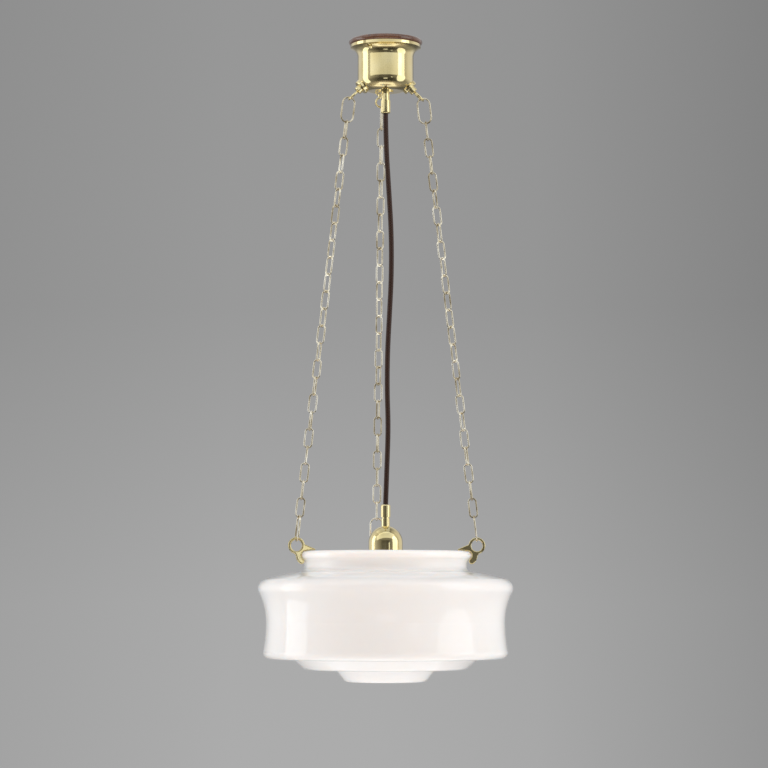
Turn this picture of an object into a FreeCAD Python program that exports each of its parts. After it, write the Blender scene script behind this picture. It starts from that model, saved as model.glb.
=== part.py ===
# Opal glass pendant light: a ceiling rose, three chains, a hooked glass bowl and a lamp holder on a flex.
# Millimetres, +Z up, origin at the centre of the face that lies against the ceiling.
import FreeCAD
import Part
import Sketcher
import math
import operator
import os
from FreeCAD import Matrix, Placement, Rotation, Vector

# Driving dimensions. Radii and lengths are in millimetres, angles in degrees.
SIZES = {
    # Clearances
    "run_gap": 0.3,
    "fit_gap": 0.15,
    "seat_gap": 0.05,
    # Azimuth of the side chains in front of the X axis
    "side_azimuth": 8.0,
    # Wooden ceiling plate
    "plate_radius": 51.0,
    "plate_thick": 8.0,
    "cable_hole_radius": 10.0,
    "ceiling_hole_spacing": 50.8,
    "ceiling_hole_radius": 2.3,
    # Cup of the rose
    "cup_radius": 38.8,
    "cup_height": 64.5,
    "cup_wall": 1.6,
    "cup_corner": 17.0,
    "cup_lip": 10.0,
    "cup_lip_edge": 3.9,
    "cup_cove_overhang": 3.3,
    # Screws that hold the cup to the plate
    "rose_screw_azimuth": 54.0,
    "rose_screw_offset": 4.9,
    "rose_screw_seat": 4.6,
    "rose_screw_radius": 1.6,
    "rose_screw_bite": 5.0,
    "rose_screw_head_radius": 3.2,
    "rose_screw_head_height": 2.2,
    # Eyes at the corner of the cup
    "eye_tilt": 45.0,
    "eye_shank_radius": 4.0,
    "eye_collar_radius": 10.5,
    "eye_collar_height": 2.5,
    "eye_collar_skirt": 4.0,
    "eye_barrel_radius": 5.5,
    "eye_barrel_length": 6.5,
    "eye_bevel": 0.8,
    "eye_ring_radius": 8.8,
    "eye_ring_wire": 2.8,
    "eye_ring_sink": 0.9,
    "eye_nut_radius": 7.0,
    "eye_nut_thick": 4.0,
    "eye_thread_end": 1.0,
    # Stem under the cup, and the threaded spigots of stem and neck
    "stem_length": 13.0,
    "stem_radius": 5.7,
    "stem_flange_radius": 11.0,
    "stem_flange_thick": 1.8,
    "spigot_radius": 4.9,
    "spigot_reach": 8.0,
    "cord_bore": 4.0,
    "locknut_radius": 7.5,
    "locknut_thick": 4.0,
    "locknut_thread_end": 1.0,
    # Cord grips
    "rose_grip_radius": 6.8,
    "rose_grip_length": 18.1,
    "holder_grip_radius": 6.7,
    "holder_grip_length": 17.8,
    "grip_lip": 3.6,
    "grip_mouth_round": 2.5,
    "grip_mouth_gap": 0.25,
    # Terminal block on the plate
    "block_width": 34.0,
    "block_depth": 12.0,
    "block_height": 14.0,
    "block_offset": 12.0,
    "block_pitch": 11.0,
    "block_screw_radius": 1.8,
    "block_screw_height": 1.5,
    # Flex and its cores
    "flex_radius": 3.5,
    "core_radius": 1.1,
    "upper_tail_rise": 10.5,
    "lower_tail_drop": 1.0,
    "core_offset": 1.65,
    "core_lead": 12.0,
    "core_entry": 7.0,
    # Chains
    "large_link_length": 37.4,
    "large_link_width": 19.4,
    "large_link_wire": 2.3,
    "small_link_length": 28.6,
    "small_link_width": 12.5,
    "small_link_wire": 2.2,
    "small_link_count": 23,
    "chain_wobble": 5.0,
    "chain_wobble_angle": 126.0,
    # Hooks on the rim of the glass
    "hook_thick": 4.5,
    "hook_round": 0.6,
    "hook_gap": 0.6,
    "hook_ring_offset": 13.2,
    "hook_ring_rise": 13.2,
    "hook_ring_radius": 11.2,
    "hook_hole_radius": 8.0,
    "hook_prong_reach": 13.0,
    "hook_prong_tip": 1.4,
    "hook_prong_lift": 0.7,
    "hook_claw_thick": 7.5,
    "hook_claw_angle": 54.0,
    "hook_join_angle": 75.0,
    "hook_crest_angle": 50.0,
    "hook_back_angle": 172.0,
    # Glass shade, depths measured from the top of its rim
    "shade_height": 180.0,
    "glass_wall": 4.0,
    "neck_radius": 111.6,
    "bead_radius": 6.0,
    "bead_offset": 0.4,
    "lip_hollow": 9.0,
    "neck_straight": 2.2,
    "neck_fillet": 7.0,
    "shoulder_radius": 220.0,
    "shade_radius": 175.0,
    "edge_bend": 13.0,
    "edge_depth": 50.5,
    "waist_inset": 11.2,
    "waist_depth": 97.0,
    "flare_radius": 220.0,
    "foot_bend": 9.0,
    "base_depth": 147.0,
    "step_hollow": 2.5,
    "second_tier_inset": 48.0,
    "second_tier_slope": 42.0,
    "second_tier_bend": 10.0,
    "second_tier_depth": 161.8,
    "third_tier_inset": 106.5,
    "third_tier_slope": 52.0,
    "third_tier_bend": 9.0,
    "crown_radius": 1000.0,
    # Lamp holder
    "grip_groove": 1.6,
    "neck_stem_radius": 5.85,
    "neck_stem_length": 10.6,
    "dome_radius": 23.5,
    "dome_wall": 1.2,
    "dome_skirt": 14.0,
    "shell_flange_thick": 1.5,
    "shell_recess": 0.5,
    "shell_bore": 11.6,
    "shell_wall": 1.3,
    "shell_drop": 18.0,
    "insulator_radius": 20.0,
    "insulator_thick": 10.0,
    "contact_offset": 4.6,
    "plunger_radius": 2.2,
    "plunger_tip_radius": 1.5,
    "plunger_taper": 1.2,
    "plunger_drop": 4.5,
    "plunger_rise": 3.0,
    "spring_wall": 0.8,
    "terminal_width": 6.5,
    "terminal_depth": 9.0,
    "terminal_height": 5.0,
    "terminal_screw_radius": 1.7,
    "terminal_screw_height": 1.6,
    "terminal_screw_offset": 2.2,
    # Bayonet slots and bulb
    "pin_radius": 1.0,
    "pin_reach": 2.5,
    "pin_depth": 12.0,
    "pin_turn": 20.0,
    "pin_stop": 7.5,
    "bulb_cap_radius": 11.1,
    "bulb_cap_wall": 0.6,
    "bulb_cap_top": 4.5,
    "bulb_cap_length": 25.5,
    "bulb_seal_rise": 0.5,
    "bulb_seal_thick": 4.0,
    "bulb_contact_radius": 1.7,
    "bulb_radius": 30.0,
    "bulb_wall": 1.0,
    "bulb_neck_length": 9.0,
    "bulb_flare_drop": 42.0,
}

# Route of the flex from the rose to the holder: sideways place and depth below its upper end.
FLEX_ROUTE = [(0.0, 0.0), (0.4, 45.0), (2.6, 105.0), (5.5, 165.0), (5.6, 225.0), (3.4, 275.0),
              (0.4, 330.0), (0.2, 385.0), (1.4, 435.0), (0.3, 495.0), (0.0, 541.0)]

UP = Vector(0, 0, 1)
ARC_SHARE = 0.45
TOUCHING = 1e-6
SIGNS = {"+": operator.add, "-": operator.sub, "*": operator.mul, "/": operator.truediv}

DOC = FreeCAD.newDocument("Pendant")
NODES = []


class Datum:
    """What a sketch calls its origin and its two axes."""
    ORIGIN = -1
    FLAT = -1
    UPRIGHT = -2


class Size:
    """A number together with the expression that works it out from the sheet."""

    def __init__(self, value, text):
        self.value = value
        self.text = text

    def __add__(self, other):
        return combined(self, "+", other)

    def __radd__(self, other):
        return combined(other, "+", self)

    def __sub__(self, other):
        return combined(self, "-", other)

    def __rsub__(self, other):
        return combined(other, "-", self)

    def __mul__(self, other):
        return combined(self, "*", other)

    def __rmul__(self, other):
        return combined(other, "*", self)

    def __truediv__(self, other):
        return combined(self, "/", other)

    def __neg__(self):
        return combined(0, "-", self)

    def bound(self):
        return "Sizes." in self.text


def as_size(number):
    if isinstance(number, Size):
        return number
    return Size(float(number), repr(float(number)))


def combined(first, sign, second):
    first = as_size(first)
    second = as_size(second)
    value = SIGNS[sign](first.value, second.value)
    return Size(value, "(%s %s %s)" % (first.text, sign, second.text))


def root(size):
    return Size(math.sqrt(size.value), "sqrt(%s)" % size.text)


def sine(size):
    return Size(math.sin(math.radians(size.value)), "sin(%s)" % size.text)


def cosine(size):
    return Size(math.cos(math.radians(size.value)), "cos(%s)" % size.text)


class Sheet:
    """Gives each driving dimension by its alias."""

    def __getattr__(self, alias):
        return Size(float(SIZES[alias]), "Sizes." + alias)


S = Sheet()


def write_sheet():
    sheet = DOC.addObject("Spreadsheet::Sheet", "Sizes")
    for row, (alias, value) in enumerate(SIZES.items(), start=1):
        sheet.set("A%d" % row, alias)
        sheet.set("B%d" % row, str(value))
        sheet.setAlias("B%d" % row, alias)
    DOC.recompute()


# Drawing helpers

def arc_between(begin, end, radius, turn):
    """The arc of under a half circle between two points that turns left (1) or right (-1)."""
    chord = end - begin
    left = Vector(-chord.y, chord.x, 0).normalize()
    rise = math.sqrt(max(radius ** 2 - (chord.Length / 2) ** 2, 0.0))
    centre = (begin + end) * 0.5 + left * (rise * turn)
    first, last = (begin, end) if turn > 0 else (end, begin)
    angles = [math.atan2(point.y - centre.y, point.x - centre.x) for point in (first, last)]
    return Part.ArcOfCircle(Part.Circle(centre, UP, radius), angles[0], angles[1])


def turns_right(step):
    return len(step) == 4 and step[3].value < 0


def draw(sketch, outline):
    """A closed outline whose steps run to their point: (x, y) by a line, (x, y, radius, turn) by an arc."""
    steps = [[as_size(entry) for entry in step] for step in outline]
    points = [Vector(step[0].value, step[1].value, 0) for step in steps]
    rules = []
    for number, step in enumerate(steps):
        begin = points[number - 1]
        end = points[number]
        if len(step) == 2:
            sketch.addGeometry(Part.LineSegment(begin, end))
        else:
            sketch.addGeometry(arc_between(begin, end, step[2].value, step[3].value))
            rules.append((Sketcher.Constraint("Radius", number, step[2].value), step[2]))
    for number, step in enumerate(steps):
        following = (number + 1) % len(steps)
        end = 1 if turns_right(step) else 2
        start = 2 if turns_right(steps[following]) else 1
        rules.append((Sketcher.Constraint("Coincident", number, end, following, start), None))
        for kind, axis, size in (("DistanceX", Datum.UPRIGHT, step[0]), ("DistanceY", Datum.FLAT, step[1])):
            if size.value == 0:
                rules.append((Sketcher.Constraint("PointOnObject", number, end, axis), None))
            else:
                rule = Sketcher.Constraint(kind, Datum.ORIGIN, 1, number, end, size.value)
                rules.append((rule, size))
    constrain(sketch, rules)


def draw_circle(sketch, x, y, radius):
    number = sketch.addGeometry(Part.Circle(Vector(x.value, y.value, 0), UP, radius.value))
    constrain(sketch, [
        (Sketcher.Constraint("DistanceX", Datum.ORIGIN, 1, number, 3, x.value), x),
        (Sketcher.Constraint("DistanceY", Datum.ORIGIN, 1, number, 3, y.value), y),
        (Sketcher.Constraint("Radius", number, radius.value), radius),
    ])


def constrain(sketch, rules):
    for rule, size in rules:
        number = sketch.addConstraint(rule)
        if size is not None and size.bound():
            sketch.setExpression("Constraints[%d]" % number, size.text)


# Solid helpers

def sketch_in(body, name):
    sketch = body.newObject("Sketcher::SketchObject", name)
    plane = next(item for item in body.Origin.OriginFeatures if item.Role == "XZ_Plane")
    sketch.AttachmentSupport = [(plane, "")]
    sketch.MapMode = "FlatFace"
    return sketch


def turned(name, outline):
    """A body turned about Z from an outline of radius and height."""
    body = DOC.addObject("PartDesign::Body", name)
    sketch = sketch_in(body, name + "_outline")
    draw(sketch, outline)
    spin = body.newObject("PartDesign::Revolution", name + "_turning")
    spin.Profile = sketch
    spin.ReferenceAxis = (sketch, ["V_Axis"])
    spin.Angle = 360
    return body


def sleeve(name, inner, outer, length):
    return turned(name, [(inner, 0), (outer, 0), (outer, length), (inner, length)])


def solid(kind, name, **sizes):
    piece = DOC.addObject("Part::" + kind, name)
    for key, size in sizes.items():
        piece.setExpression(key, as_size(size).text)
    return piece


def place(piece, x=0, y=0, z=0, rotation=Rotation()):
    spot = [as_size(x), as_size(y), as_size(z)]
    piece.Placement = Placement(Vector(*[size.value for size in spot]), rotation)
    for axis, size in zip("xyz", spot):
        if size.bound():
            piece.setExpression("Placement.Base." + axis, size.text)
    return piece


def post(name, radius, top, bottom, x=0, y=0):
    """A round bar between two depths below the ceiling."""
    bar = solid("Cylinder", name, Radius=radius, Height=bottom - top)
    return place(bar, x, y, -as_size(bottom))


def fused(name, pieces):
    whole = DOC.addObject("Part::MultiFuse", name)
    whole.Shapes = pieces
    return whole


def cut(name, base, tools):
    piece = DOC.addObject("Part::Cut", name)
    piece.Base = base
    piece.Tool = tools[0] if len(tools) == 1 else fused(name + "_cutters", tools)
    return piece


def grouped(name, pieces):
    group = DOC.addObject("Part::Compound", name)
    group.Links = pieces
    return group


def shaped(name, shape, placement=Placement()):
    piece = DOC.addObject("Part::Feature", name)
    piece.Shape = shape
    piece.Placement = placement
    return piece


def hex_nut(name, corner_radius, bore, thick):
    blank = solid("Prism", name + "_blank", Circumradius=corner_radius, Height=thick)
    blank.Polygon = 6
    hole = solid("Cylinder", name + "_thread", Radius=bore, Height=thick)
    return cut(name, blank, [hole])


def node(piece):
    piece.Label = piece.Name
    NODES.append(piece)
    return piece


def tube_along(name, points, radius):
    """A round tube on straight runs joined by tangent arcs as large as the runs allow."""
    edges = []
    bends = []
    reached = points[0]
    for before, corner, after in zip(points, points[1:], points[2:]):
        into = corner - before
        out = after - corner
        turn = into.getAngle(out)
        reach = ARC_SHARE * min(into.Length, out.Length)
        bend = reach / math.tan(turn / 2)
        into.normalize()
        out.normalize()
        first = corner - into * reach
        last = corner + out * reach
        inward = (out - into).normalize()
        middle = corner + inward * (bend / math.cos(turn / 2) - bend)
        edges.append(Part.LineSegment(reached, first).toShape())
        edges.append(Part.Arc(first, middle, last).toShape())
        bends.append(bend)
        reached = last
    edges.append(Part.LineSegment(reached, points[-1]).toShape())
    path = Part.Wire(edges)
    ring = Part.Wire([Part.makeCircle(radius, points[0], points[1] - points[0])])
    tube = path.makePipeShell([ring], True, False)
    expected = math.pi * radius ** 2 * path.Length
    print("%s: length %.1f, radii %s, volume over section times length %.4f" % (
        name, path.Length, ["%.0f" % bend for bend in bends], tube.Volume / expected))
    return tube


# Depths below the ceiling that several pieces share
CUP_BOTTOM = S.plate_thick + S.cup_height
STEM_BOTTOM = CUP_BOTTOM + S.stem_length
ROSE_MOUTH = STEM_BOTTOM + S.rose_grip_length
FLEX_TOP = ROSE_MOUTH + S.run_gap
HOLDER_TOP = FLEX_TOP + FLEX_ROUTE[-1][1] + S.run_gap
NECK_TOP = HOLDER_TOP + S.holder_grip_length + S.grip_groove
DOME_TOP = NECK_TOP + S.neck_stem_length
DOME_HEIGHT = S.dome_skirt + root(S.dome_radius * S.dome_radius - S.neck_stem_radius * S.neck_stem_radius)
DOME_BOTTOM = DOME_TOP + DOME_HEIGHT
SPIGOT_HOLE = S.spigot_radius + S.fit_gap

# Azimuths about the light's axis: the rear chain lies at +Y, the others to the left and right
SIDES = ("rear", "left", "right")
AZIMUTHS = {"rear": 90.0, "left": 180.0 + S.side_azimuth.value, "right": -S.side_azimuth.value}


def outward(azimuth):
    return Rotation(UP, azimuth).multVec(Vector(1, 0, 0))


def sideways(azimuth):
    return Rotation(UP, azimuth).multVec(Vector(0, 1, 0))


# Ceiling plate and cup

def rose_screw_places():
    circle = S.cup_radius + S.rose_screw_offset
    x = circle * cosine(S.rose_screw_azimuth)
    y = circle * sine(S.rose_screw_azimuth)
    return [("a", x, y), ("b", -x, -y)]


def make_plate():
    edge = S.plate_thick / 2
    blank = turned("plate_blank", [
        (S.cable_hole_radius, 0),
        (S.plate_radius - edge, 0),
        (S.plate_radius, edge, edge, 1),
        (S.plate_radius - edge, S.plate_thick, edge, 1),
        (S.cable_hole_radius, S.plate_thick),
    ])
    place(blank, z=-S.plate_thick)
    holes = []
    for side, x in (("left", -S.ceiling_hole_spacing / 2), ("right", S.ceiling_hole_spacing / 2)):
        holes.append(post("ceiling_hole_" + side, S.ceiling_hole_radius, 0, S.plate_thick, x))
    pilot = S.rose_screw_radius + S.seat_gap
    for mark, x, y in rose_screw_places():
        holes.append(post("pilot_" + mark, pilot, S.plate_thick - S.rose_screw_bite - S.run_gap,
                          S.plate_thick, x, y))
    node(cut("pattress", blank, holes))


def eye_frame(side):
    """The place of an eye: at the centre of the cup's corner bend, with Z out along the eye."""
    azimuth = AZIMUTHS[side]
    centre = outward(azimuth) * (S.cup_radius - S.cup_corner).value
    centre.z = -(CUP_BOTTOM - S.cup_corner).value
    turn = Rotation(UP, azimuth).multiply(Rotation(Vector(0, 1, 0), 90 + S.eye_tilt.value))
    return Placement(centre, turn)


def along_eye(piece, side, distance, turn=Rotation()):
    piece.Placement = eye_frame(side).multiply(Placement(Vector(0, 0, as_size(distance).value), turn))
    return piece


def make_cup():
    flange = S.cup_radius + S.cup_lip
    cove = S.cup_lip + S.cup_cove_overhang
    lip_bottom = S.cup_height - S.cup_lip_edge
    cove_bottom = lip_bottom - root(cove * cove - S.cup_cove_overhang * S.cup_cove_overhang)
    bore = S.cup_radius - S.cup_wall
    flat = S.cup_radius - S.cup_corner
    blank = turned("cup_blank", [
        (SPIGOT_HOLE, 0),
        (flat, 0),
        (S.cup_radius, S.cup_corner, S.cup_corner, 1),
        (S.cup_radius, cove_bottom),
        (flange, lip_bottom, cove, -1),
        (flange, S.cup_height),
        (bore, S.cup_height),
        (bore, S.cup_corner),
        (flat, S.cup_wall, S.cup_corner - S.cup_wall, -1),
        (SPIGOT_HOLE, S.cup_wall),
    ])
    place(blank, z=-CUP_BOTTOM)
    holes = []
    for side in SIDES:
        drill = solid("Cylinder", "eye_hole_" + side, Radius=S.eye_shank_radius + S.fit_gap, Height=S.cup_corner)
        holes.append(along_eye(drill, side, S.cup_corner / 2))
    seat = S.plate_thick + S.rose_screw_seat
    for mark, x, y in rose_screw_places():
        holes.append(post("screw_hole_" + mark, S.rose_screw_radius + S.fit_gap, S.plate_thick, seat, x, y))
        holes.append(post("screw_seat_" + mark, S.rose_screw_head_radius + S.run_gap, seat, CUP_BOTTOM, x, y))
    node(cut("rose_cup", blank, holes))


def make_rose_screws():
    screws = []
    dome = S.rose_screw_head_height
    swell = (dome * dome + S.rose_screw_head_radius * S.rose_screw_head_radius) / (2 * dome)
    for mark, x, y in rose_screw_places():
        screw = turned("rose_screw_" + mark, [
            (0, 0),
            (S.rose_screw_head_radius, dome, swell, 1),
            (S.rose_screw_radius, dome),
            (S.rose_screw_radius, dome + S.rose_screw_seat + S.rose_screw_bite),
            (0, dome + S.rose_screw_seat + S.rose_screw_bite),
        ])
        screws.append(place(screw, x, y, -(S.plate_thick + S.rose_screw_seat + dome)))
    node(grouped("rose_screws", screws))


# Eyes

EYE_NUT_FACE = root((S.cup_corner - S.cup_wall) * (S.cup_corner - S.cup_wall)
                    - S.eye_nut_radius * S.eye_nut_radius) - S.seat_gap
EYE_BARREL_END = S.cup_corner + S.eye_collar_height + S.eye_barrel_length
EYE_RING_CENTRE = EYE_BARREL_END + S.eye_ring_radius - S.eye_ring_sink


def make_eye(side):
    name = "eye_" + side
    collar_top = S.eye_collar_skirt + S.eye_collar_height
    end = collar_top + S.eye_barrel_length
    blank = turned(name + "_blank", [
        (0, 0),
        (S.eye_collar_radius, 0),
        (S.eye_collar_radius, collar_top - S.eye_bevel),
        (S.eye_collar_radius - S.eye_bevel, collar_top),
        (S.eye_barrel_radius, collar_top),
        (S.eye_barrel_radius, end - S.eye_bevel),
        (S.eye_barrel_radius - S.eye_bevel, end),
        (0, end),
    ])
    along_eye(blank, side, S.cup_corner - S.eye_collar_skirt)
    saddle = solid("Torus", name + "_saddle", Radius1=S.cup_radius - S.cup_corner,
                   Radius2=S.cup_corner + S.seat_gap)
    place(saddle, z=-(CUP_BOTTOM - S.cup_corner))
    collar = cut(name + "_collar", blank, [saddle])
    shank_start = EYE_NUT_FACE - S.eye_nut_thick - S.eye_thread_end
    shank = solid("Cylinder", name + "_shank", Radius=S.eye_shank_radius, Height=EYE_BARREL_END - shank_start
                  - S.eye_bevel)
    along_eye(shank, side, shank_start)
    ring = solid("Torus", name + "_ring", Radius1=S.eye_ring_radius, Radius2=S.eye_ring_wire / 2)
    along_eye(ring, side, EYE_RING_CENTRE, Rotation(Vector(0, 1, 0), 90))
    node(fused(name, [collar, shank, ring]))


def make_eye_nuts():
    nuts = []
    for side in SIDES:
        nut = hex_nut("eye_nut_" + side, S.eye_nut_radius, S.eye_shank_radius + S.seat_gap, S.eye_nut_thick)
        nuts.append(along_eye(nut, side, EYE_NUT_FACE - S.eye_nut_thick))
    node(grouped("eye_nuts", nuts))


# Stem, cord grips and the wiring of the rose

def make_stem():
    shoulder = S.spigot_reach + S.stem_length - S.stem_flange_thick
    seat = S.spigot_reach + S.stem_length
    top = seat + S.cup_wall + S.locknut_thick + S.locknut_thread_end
    stem = turned("rose_stem", [
        (S.cord_bore, 0),
        (S.spigot_radius, 0),
        (S.spigot_radius, S.spigot_reach),
        (S.stem_radius, S.spigot_reach),
        (S.stem_radius, shoulder),
        (S.stem_flange_radius, shoulder),
        (S.stem_flange_radius, seat),
        (S.spigot_radius, seat),
        (S.spigot_radius, top),
        (S.cord_bore, top),
    ])
    node(place(stem, z=-(STEM_BOTTOM + S.spigot_reach)))
    nut = hex_nut("stem_locknut", S.locknut_radius, S.spigot_radius + S.seat_gap, S.locknut_thick)
    node(place(nut, z=-(CUP_BOTTOM - S.cup_wall)))


def make_cord_grip(which, radius, length, mouth, turn):
    """A sleeve that screws on a spigot and closes a collet on the flex; its mouth is at local zero."""
    lip_bore = S.flex_radius + S.grip_mouth_gap
    grip = turned(which + "_cord_grip", [
        (lip_bore, 0),
        (radius - S.grip_mouth_round, 0),
        (radius, S.grip_mouth_round, S.grip_mouth_round, 1),
        (radius, length),
        (SPIGOT_HOLE, length),
        (SPIGOT_HOLE, S.grip_lip),
        (lip_bore, S.grip_lip),
    ])
    node(place(grip, z=-mouth, rotation=turn))
    collet_length = length - S.grip_lip - S.spigot_reach - 2 * S.fit_gap
    collet = sleeve(which + "_grip_collet", S.flex_radius + S.seat_gap, SPIGOT_HOLE - S.seat_gap, collet_length)
    lift = S.grip_lip + S.fit_gap
    start = lift - mouth if turn.Angle == 0 else -(lift + mouth)
    node(place(collet, z=start, rotation=turn))


def make_terminal_block():
    floor = S.plate_thick + S.block_height
    screws = []
    for column in (-1, 0, 1):
        for row in (1, 3):
            name = "block_screw_%d_%d" % (column + 2, row)
            screw = post(name, S.block_screw_radius, floor, floor + S.block_screw_height,
                         S.block_pitch * column, S.block_offset + S.block_depth * row / 4)
            screws.append(screw)
    block = solid("Box", "terminal_block", Length=S.block_width, Width=S.block_depth, Height=S.block_height)
    node(place(block, -S.block_width / 2, S.block_offset, -floor))
    node(grouped("terminal_screws", screws))


def make_upper_wiring():
    tail_top = CUP_BOTTOM - S.upper_tail_rise
    node(post("flex_tail_upper", S.flex_radius, tail_top, ROSE_MOUTH))
    cores = []
    start = (S.seat_gap - tail_top).value
    end = -(S.plate_thick + S.block_height / 2).value
    spread = S.core_offset.value
    face = (S.block_offset - S.seat_gap).value
    for column in (-1, 0, 1):
        x = S.block_pitch.value * column
        foot = Vector(spread * column, spread * (1 - abs(column)), start)
        points = [
            foot,
            foot + UP * S.core_lead.value,
            Vector(x, face - S.core_entry.value, end),
            Vector(x, face, end),
        ]
        cores.append(tube_along("rose core %d" % column, points, S.core_radius.value))
    node(shaped("rose_wires", Part.makeCompound(cores)))


# Flex between the rose and the lamp holder

def make_flex():
    points = [Vector(x, 0, -depth) for x, depth in FLEX_ROUTE]
    tube = tube_along("flex", points, S.flex_radius.value)
    node(shaped("flex", tube, Placement(Vector(0, 0, -FLEX_TOP.value), Rotation())))


# Lamp holder, heights measured up from the lower edge of its dome

def at_holder(piece, height, x=0, y=0, rotation=Rotation()):
    return place(piece, x, y, as_size(height) - DOME_BOTTOM, rotation)


INSULATOR_FLOOR = S.shell_recess + S.shell_flange_thick
INSULATOR_TOP = INSULATOR_FLOOR + S.insulator_thick
DOME_SEAT = S.dome_skirt + root((S.dome_radius - S.dome_wall) * (S.dome_radius - S.dome_wall)
                                - S.locknut_radius * S.locknut_radius)
PLUNGER_TOP = INSULATOR_FLOOR + S.plunger_rise
PLUNGER_TIP = INSULATOR_FLOOR - S.plunger_drop
CONTACT_TOP = PLUNGER_TIP - S.run_gap


def make_holder_neck():
    below = DOME_HEIGHT - DOME_SEAT + S.locknut_thick + S.locknut_thread_end
    top = below + S.neck_stem_length
    neck = turned("holder_neck", [
        (S.cord_bore, 0),
        (S.spigot_radius, 0),
        (S.spigot_radius, below),
        (S.neck_stem_radius, below),
        (S.neck_stem_radius, top),
        (S.spigot_radius, top),
        (S.spigot_radius, top + S.grip_groove + S.spigot_reach),
        (S.cord_bore, top + S.grip_groove + S.spigot_reach),
    ])
    node(at_holder(neck, DOME_HEIGHT - below))
    nut = hex_nut("holder_neck_locknut", S.locknut_radius, S.spigot_radius + S.seat_gap, S.locknut_thick)
    node(at_holder(nut, DOME_SEAT - S.locknut_thick))


def make_holder_cap():
    inner = S.dome_radius - S.dome_wall
    cap = turned("holder_cap", [
        (inner, 0),
        (S.dome_radius, 0),
        (S.dome_radius, S.dome_skirt),
        (S.neck_stem_radius, DOME_HEIGHT, S.dome_radius, 1),
        (SPIGOT_HOLE, DOME_HEIGHT),
        (SPIGOT_HOLE, DOME_SEAT),
        (S.locknut_radius, DOME_SEAT),
        (inner, S.dome_skirt, inner, -1),
    ])
    node(at_holder(cap, 0))


def make_holder_shell():
    barrel = S.shell_bore + S.shell_wall
    flange = S.dome_radius - S.dome_wall - S.run_gap
    step = S.shell_drop + S.shell_recess
    blank = turned("shell_blank", [
        (S.shell_bore, 0),
        (barrel, 0),
        (barrel, step),
        (flange, step),
        (flange, step + S.shell_flange_thick),
        (S.shell_bore, step + S.shell_flange_thick),
    ])
    at_holder(blank, -S.shell_drop)
    reach = barrel + S.pin_reach
    slot = 2 * (S.pin_radius + S.run_gap)
    slots = []
    for mark, start in (("a", 0), ("b", 180)):
        sweep = solid("Cylinder", "slot_" + mark, Radius=reach, Height=slot,
                      Angle=S.pin_turn + 2 * S.pin_stop)
        turn = start - S.pin_turn.value - S.pin_stop.value
        slots.append(at_holder(sweep, -S.pin_depth - slot / 2, rotation=Rotation(UP, turn)))
        entry = solid("Box", "slot_entry_" + mark, Length=reach, Width=slot, Height=S.shell_drop - S.pin_depth)
        lane = Rotation(UP, start - S.pin_turn.value)
        side = lane.multVec(Vector(0, -slot.value / 2, 0))
        slots.append(at_holder(entry, -S.shell_drop, side.x, side.y, lane))
    node(cut("holder_shell", blank, slots))


def contact_sides():
    return [("a", -S.contact_offset), ("b", S.contact_offset)]


def make_holder_insulator():
    disc = solid("Cylinder", "insulator_disc", Radius=S.insulator_radius, Height=S.insulator_thick)
    at_holder(disc, INSULATOR_FLOOR)
    holes = []
    for mark, x in contact_sides():
        hole = solid("Cylinder", "plunger_hole_" + mark, Radius=S.plunger_radius + S.run_gap,
                     Height=S.insulator_thick)
        holes.append(at_holder(hole, INSULATOR_FLOOR, x))
    node(cut("holder_insulator", disc, holes))


def make_plungers():
    plungers = []
    springs = []
    length = S.plunger_drop + S.plunger_rise
    for mark, x in contact_sides():
        plunger = turned("plunger_" + mark, [
            (0, 0),
            (S.plunger_tip_radius, 0),
            (S.plunger_radius, S.plunger_taper),
            (S.plunger_radius, length),
            (0, length),
        ])
        plungers.append(at_holder(plunger, PLUNGER_TIP, x))
        spring = sleeve("spring_" + mark, S.plunger_radius - S.spring_wall, S.plunger_radius,
                        INSULATOR_TOP - PLUNGER_TOP - 2 * S.fit_gap)
        springs.append(at_holder(spring, PLUNGER_TOP + S.fit_gap, x))
    node(grouped("holder_plungers", plungers))
    node(grouped("plunger_springs", springs))


def make_terminals():
    terminals = []
    screws = []
    top = INSULATOR_TOP + S.terminal_height
    for mark, x in contact_sides():
        block = solid("Box", "terminal_" + mark, Length=S.terminal_width, Width=S.terminal_depth,
                      Height=S.terminal_height)
        terminals.append(at_holder(block, INSULATOR_TOP, x - S.terminal_width / 2, -S.terminal_depth / 2))
        screw = solid("Cylinder", "terminal_screw_" + mark, Radius=S.terminal_screw_radius,
                      Height=S.terminal_screw_height)
        screws.append(at_holder(screw, top, x, -S.terminal_screw_offset))
    node(grouped("holder_terminals", terminals))
    node(grouped("holder_terminal_screws", screws))


def make_lower_wiring():
    thread_end = DOME_SEAT - S.locknut_thick - S.locknut_thread_end
    tail_end = thread_end - S.lower_tail_drop
    node(post("flex_tail_lower", S.flex_radius, HOLDER_TOP, DOME_BOTTOM - tail_end))
    cores = []
    top = (tail_end - S.seat_gap).value
    bottom = (INSULATOR_TOP + S.terminal_height + S.seat_gap).value
    lead = UP * ((top - bottom) / 3)
    for side in (-1, 1):
        head = Vector(S.core_offset.value * side, 0, top)
        foot = Vector(S.contact_offset.value * side, S.terminal_screw_offset.value, bottom)
        points = [head, head - lead, foot + lead, foot]
        cores.append(tube_along("holder core %d" % side, points, S.core_radius.value))
    lift = Placement(Vector(0, 0, -DOME_BOTTOM.value), Rotation())
    node(shaped("holder_wires", Part.makeCompound(cores), lift))


# Bulb

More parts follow.
